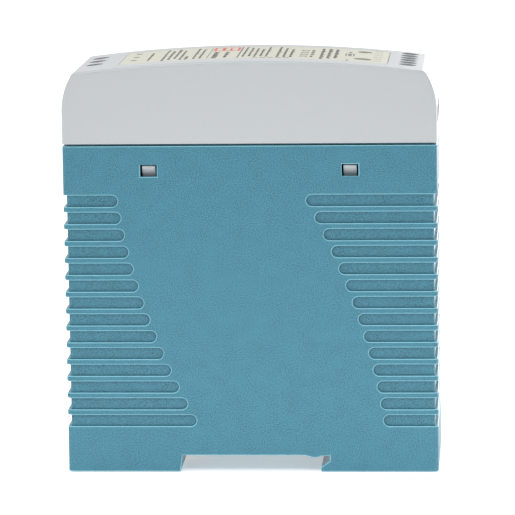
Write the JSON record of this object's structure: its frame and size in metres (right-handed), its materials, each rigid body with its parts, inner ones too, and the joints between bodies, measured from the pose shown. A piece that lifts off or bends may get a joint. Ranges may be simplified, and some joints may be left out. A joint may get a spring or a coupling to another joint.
{
  "type": "din rail power supply",
  "caption": "DIN rail power supply: teal case with grip grooves and a sprung rail clip, domed grey front over screw terminals, and the boards and converter parts inside.",
  "frame": {"origin": "centre of the outer box, on the plane of the rail-side feet", "axes": "+X from the input terminals to the output terminals, along the height on the rail; +Y across the width; +Z away from the rail, out of the domed front"},
  "size_m": [0.09, 0.04, 0.1],
  "materials": {
    "teal_plastic": "fine moulded texture, teal",
    "grey_plastic": "smooth moulded, light grey",
    "label_film": "printed film, cream",
    "latch_steel": "passivated sheet",
    "spring_steel": "drawn wire",
    "clear_film": "insulating film",
    "laminate": "glass-epoxy board",
    "black_plastic": "black moulded",
    "terminal_plastic": "green moulded",
    "screw_steel": "zinc plated",
    "clamp_brass": "nickelled brass",
    "trimmer_blue": "blue moulded",
    "rotor_white": "white moulded",
    "lens_green": "clear tinted",
    "blue_epoxy": "dipped epoxy",
    "green_epoxy": "dipped epoxy",
    "yellow_box": "moulded box",
    "winding_tape": "polyester tape",
    "magnet_wire": "enamelled copper",
    "ferrite": "sintered ferrite",
    "capacitor_sleeve": "shrink sleeve",
    "aluminium": "mill finish",
    "relay_white": "moulded case"
  },
  "bodies": {
    "supply": {"rear_case": "teal_plastic", "front_cover": "grey_plastic", "nameplate": "label_film", "latch_spring": "spring_steel", "insulation_sheet": "clear_film", "main_board": "laminate", "front_board": "laminate", "board_connector": "black_plastic", "bridge_rectifier": "black_plastic", "switching_transistor": "black_plastic", "output_diode": "black_plastic", "optocoupler": "black_plastic", "control_chip": "black_plastic", "transformer_bobbin": "black_plastic", "input_fuse": "black_plastic", "input_terminal_block": "terminal_plastic", "output_terminal_block": "terminal_plastic", "transistor_screw": "screw_steel", "diode_screw": "screw_steel", "trimmer_body": "trimmer_blue", "status_led": "lens_green", "led_light_pipe": "lens_green", "surge_varistor": "blue_epoxy", "y_capacitor": "blue_epoxy", "inrush_thermistor": "green_epoxy", "x_capacitor": "yellow_box", "transformer_winding": "winding_tape", "line_choke_winding": "magnet_wire", "output_choke_winding": "magnet_wire", "line_choke_core": "ferrite", "transformer_core": "ferrite", "output_choke_core": "ferrite", "bulk_capacitor": "capacitor_sleeve", "output_capacitor_1": "capacitor_sleeve", "output_capacitor_2": "capacitor_sleeve", "primary_heatsink": "aluminium", "secondary_heatsink": "aluminium", "dc_ok_relay": "relay_white"},
    "latch": {"rail_latch": "latch_steel"},
    "trimmer_rotor": {"trimmer_rotor": "rotor_white"},
    "input_screw_1": {"input_screw_1": "screw_steel"},
    "input_clamp_1": {"input_clamp_1": "clamp_brass"},
    "input_screw_2": {"input_screw_2": "screw_steel"},
    "input_clamp_2": {"input_clamp_2": "clamp_brass"},
    "input_screw_3": {"input_screw_3": "screw_steel"},
    "input_clamp_3": {"input_clamp_3": "clamp_brass"},
    "output_screw_1": {"output_screw_1": "screw_steel"},
    "output_clamp_1": {"output_clamp_1": "clamp_brass"},
    "output_screw_2": {"output_screw_2": "screw_steel"},
    "output_clamp_2": {"output_clamp_2": "clamp_brass"},
    "output_screw_3": {"output_screw_3": "screw_steel"},
    "output_clamp_3": {"output_clamp_3": "clamp_brass"},
    "output_screw_4": {"output_screw_4": "screw_steel"},
    "output_clamp_4": {"output_clamp_4": "clamp_brass"},
    "output_screw_5": {"output_screw_5": "screw_steel"},
    "output_clamp_5": {"output_clamp_5": "clamp_brass"},
    "output_screw_6": {"output_screw_6": "screw_steel"},
    "output_clamp_6": {"output_clamp_6": "clamp_brass"}
  },
  "joints": [
    {"name": "latch_slide", "type": "slide", "parent": "supply", "child": "latch", "axis": [-1, 0, 0], "range_m": [0, 0.0035], "stiffness_N_per_m": 800, "springref_m": -0.003, "deforming": ["latch_spring"]},
    {"name": "trimmer_turn", "type": "hinge", "parent": "supply", "child": "trimmer_rotor", "pos_m": [0.027, -0.0065, 0.0901], "axis": [0, 0, 1], "range_deg": [-135, 135]},
    {"name": "input_screw_1_turn", "type": "hinge", "parent": "supply", "child": "input_screw_1", "pos_m": [-0.0383, -0.005, 0.0932], "axis": [0, 0, 1], "range_deg": [-1440, 0]},
    {"name": "input_clamp_1_rise", "type": "slide", "parent": "supply", "child": "input_clamp_1", "axis": [0, 0, 1], "range_m": [0, 0.002]},
    {"name": "input_screw_2_turn", "type": "hinge", "parent": "supply", "child": "input_screw_2", "pos_m": [-0.0383, 0.0025, 0.0932], "axis": [0, 0, 1], "range_deg": [-1440, 0]},
    {"name": "input_clamp_2_rise", "type": "slide", "parent": "supply", "child": "input_clamp_2", "axis": [0, 0, 1], "range_m": [0, 0.002]},
    {"name": "input_screw_3_turn", "type": "hinge", "parent": "supply", "child": "input_screw_3", "pos_m": [-0.0383, 0.01, 0.0932], "axis": [0, 0, 1], "range_deg": [-1440, 0]},
    {"name": "input_clamp_3_rise", "type": "slide", "parent": "supply", "child": "input_clamp_3", "axis": [0, 0, 1], "range_m": [0, 0.002]},
    {"name": "output_screw_1_turn", "type": "hinge", "parent": "supply", "child": "output_screw_1", "pos_m": [0.0379, -0.01, 0.0932], "axis": [0, 0, 1], "range_deg": [-1440, 0]},
    {"name": "output_clamp_1_rise", "type": "slide", "parent": "supply", "child": "output_clamp_1", "axis": [0, 0, 1], "range_m": [0, 0.002]},
    {"name": "output_screw_2_turn", "type": "hinge", "parent": "supply", "child": "output_screw_2", "pos_m": [0.0379, -0.005, 0.0932], "axis": [0, 0, 1], "range_deg": [-1440, 0]},
    {"name": "output_clamp_2_rise", "type": "slide", "parent": "supply", "child": "output_clamp_2", "axis": [0, 0, 1], "range_m": [0, 0.002]},
    {"name": "output_screw_3_turn", "type": "hinge", "parent": "supply", "child": "output_screw_3", "pos_m": [0.0379, 0, 0.0932], "axis": [0, 0, 1], "range_deg": [-1440, 0]},
    {"name": "output_clamp_3_rise", "type": "slide", "parent": "supply", "child": "output_clamp_3", "axis": [0, 0, 1], "range_m": [0, 0.002]},
    {"name": "output_screw_4_turn", "type": "hinge", "parent": "supply", "child": "output_screw_4", "pos_m": [0.0379, 0.005, 0.0932], "axis": [0, 0, 1], "range_deg": [-1440, 0]},
    {"name": "output_clamp_4_rise", "type": "slide", "parent": "supply", "child": "output_clamp_4", "axis": [0, 0, 1], "range_m": [0, 0.002]},
    {"name": "output_screw_5_turn", "type": "hinge", "parent": "supply", "child": "output_screw_5", "pos_m": [0.0379, 0.01, 0.0932], "axis": [0, 0, 1], "range_deg": [-1440, 0]},
    {"name": "output_clamp_5_rise", "type": "slide", "parent": "supply", "child": "output_clamp_5", "axis": [0, 0, 1], "range_m": [0, 0.002]},
    {"name": "output_screw_6_turn", "type": "hinge", "parent": "supply", "child": "output_screw_6", "pos_m": [0.0379, 0.015, 0.0932], "axis": [0, 0, 1], "range_deg": [-1440, 0]},
    {"name": "output_clamp_6_rise", "type": "slide", "parent": "supply", "child": "output_clamp_6", "axis": [0, 0, 1], "range_m": [0, 0.002]}
  ],
  "couplings": [
    {"joint": "input_screw_1_turn", "follows": "input_clamp_1_rise", "rad_per_m": -12566},
    {"joint": "input_screw_2_turn", "follows": "input_clamp_2_rise", "rad_per_m": -12566},
    {"joint": "input_screw_3_turn", "follows": "input_clamp_3_rise", "rad_per_m": -12566},
    {"joint": "output_screw_1_turn", "follows": "output_clamp_1_rise", "rad_per_m": -12566},
    {"joint": "output_screw_2_turn", "follows": "output_clamp_2_rise", "rad_per_m": -12566},
    {"joint": "output_screw_3_turn", "follows": "output_clamp_3_rise", "rad_per_m": -12566},
    {"joint": "output_screw_4_turn", "follows": "output_clamp_4_rise", "rad_per_m": -12566},
    {"joint": "output_screw_5_turn", "follows": "output_clamp_5_rise", "rad_per_m": -12566},
    {"joint": "output_screw_6_turn", "follows": "output_clamp_6_rise", "rad_per_m": -12566}
  ]
}
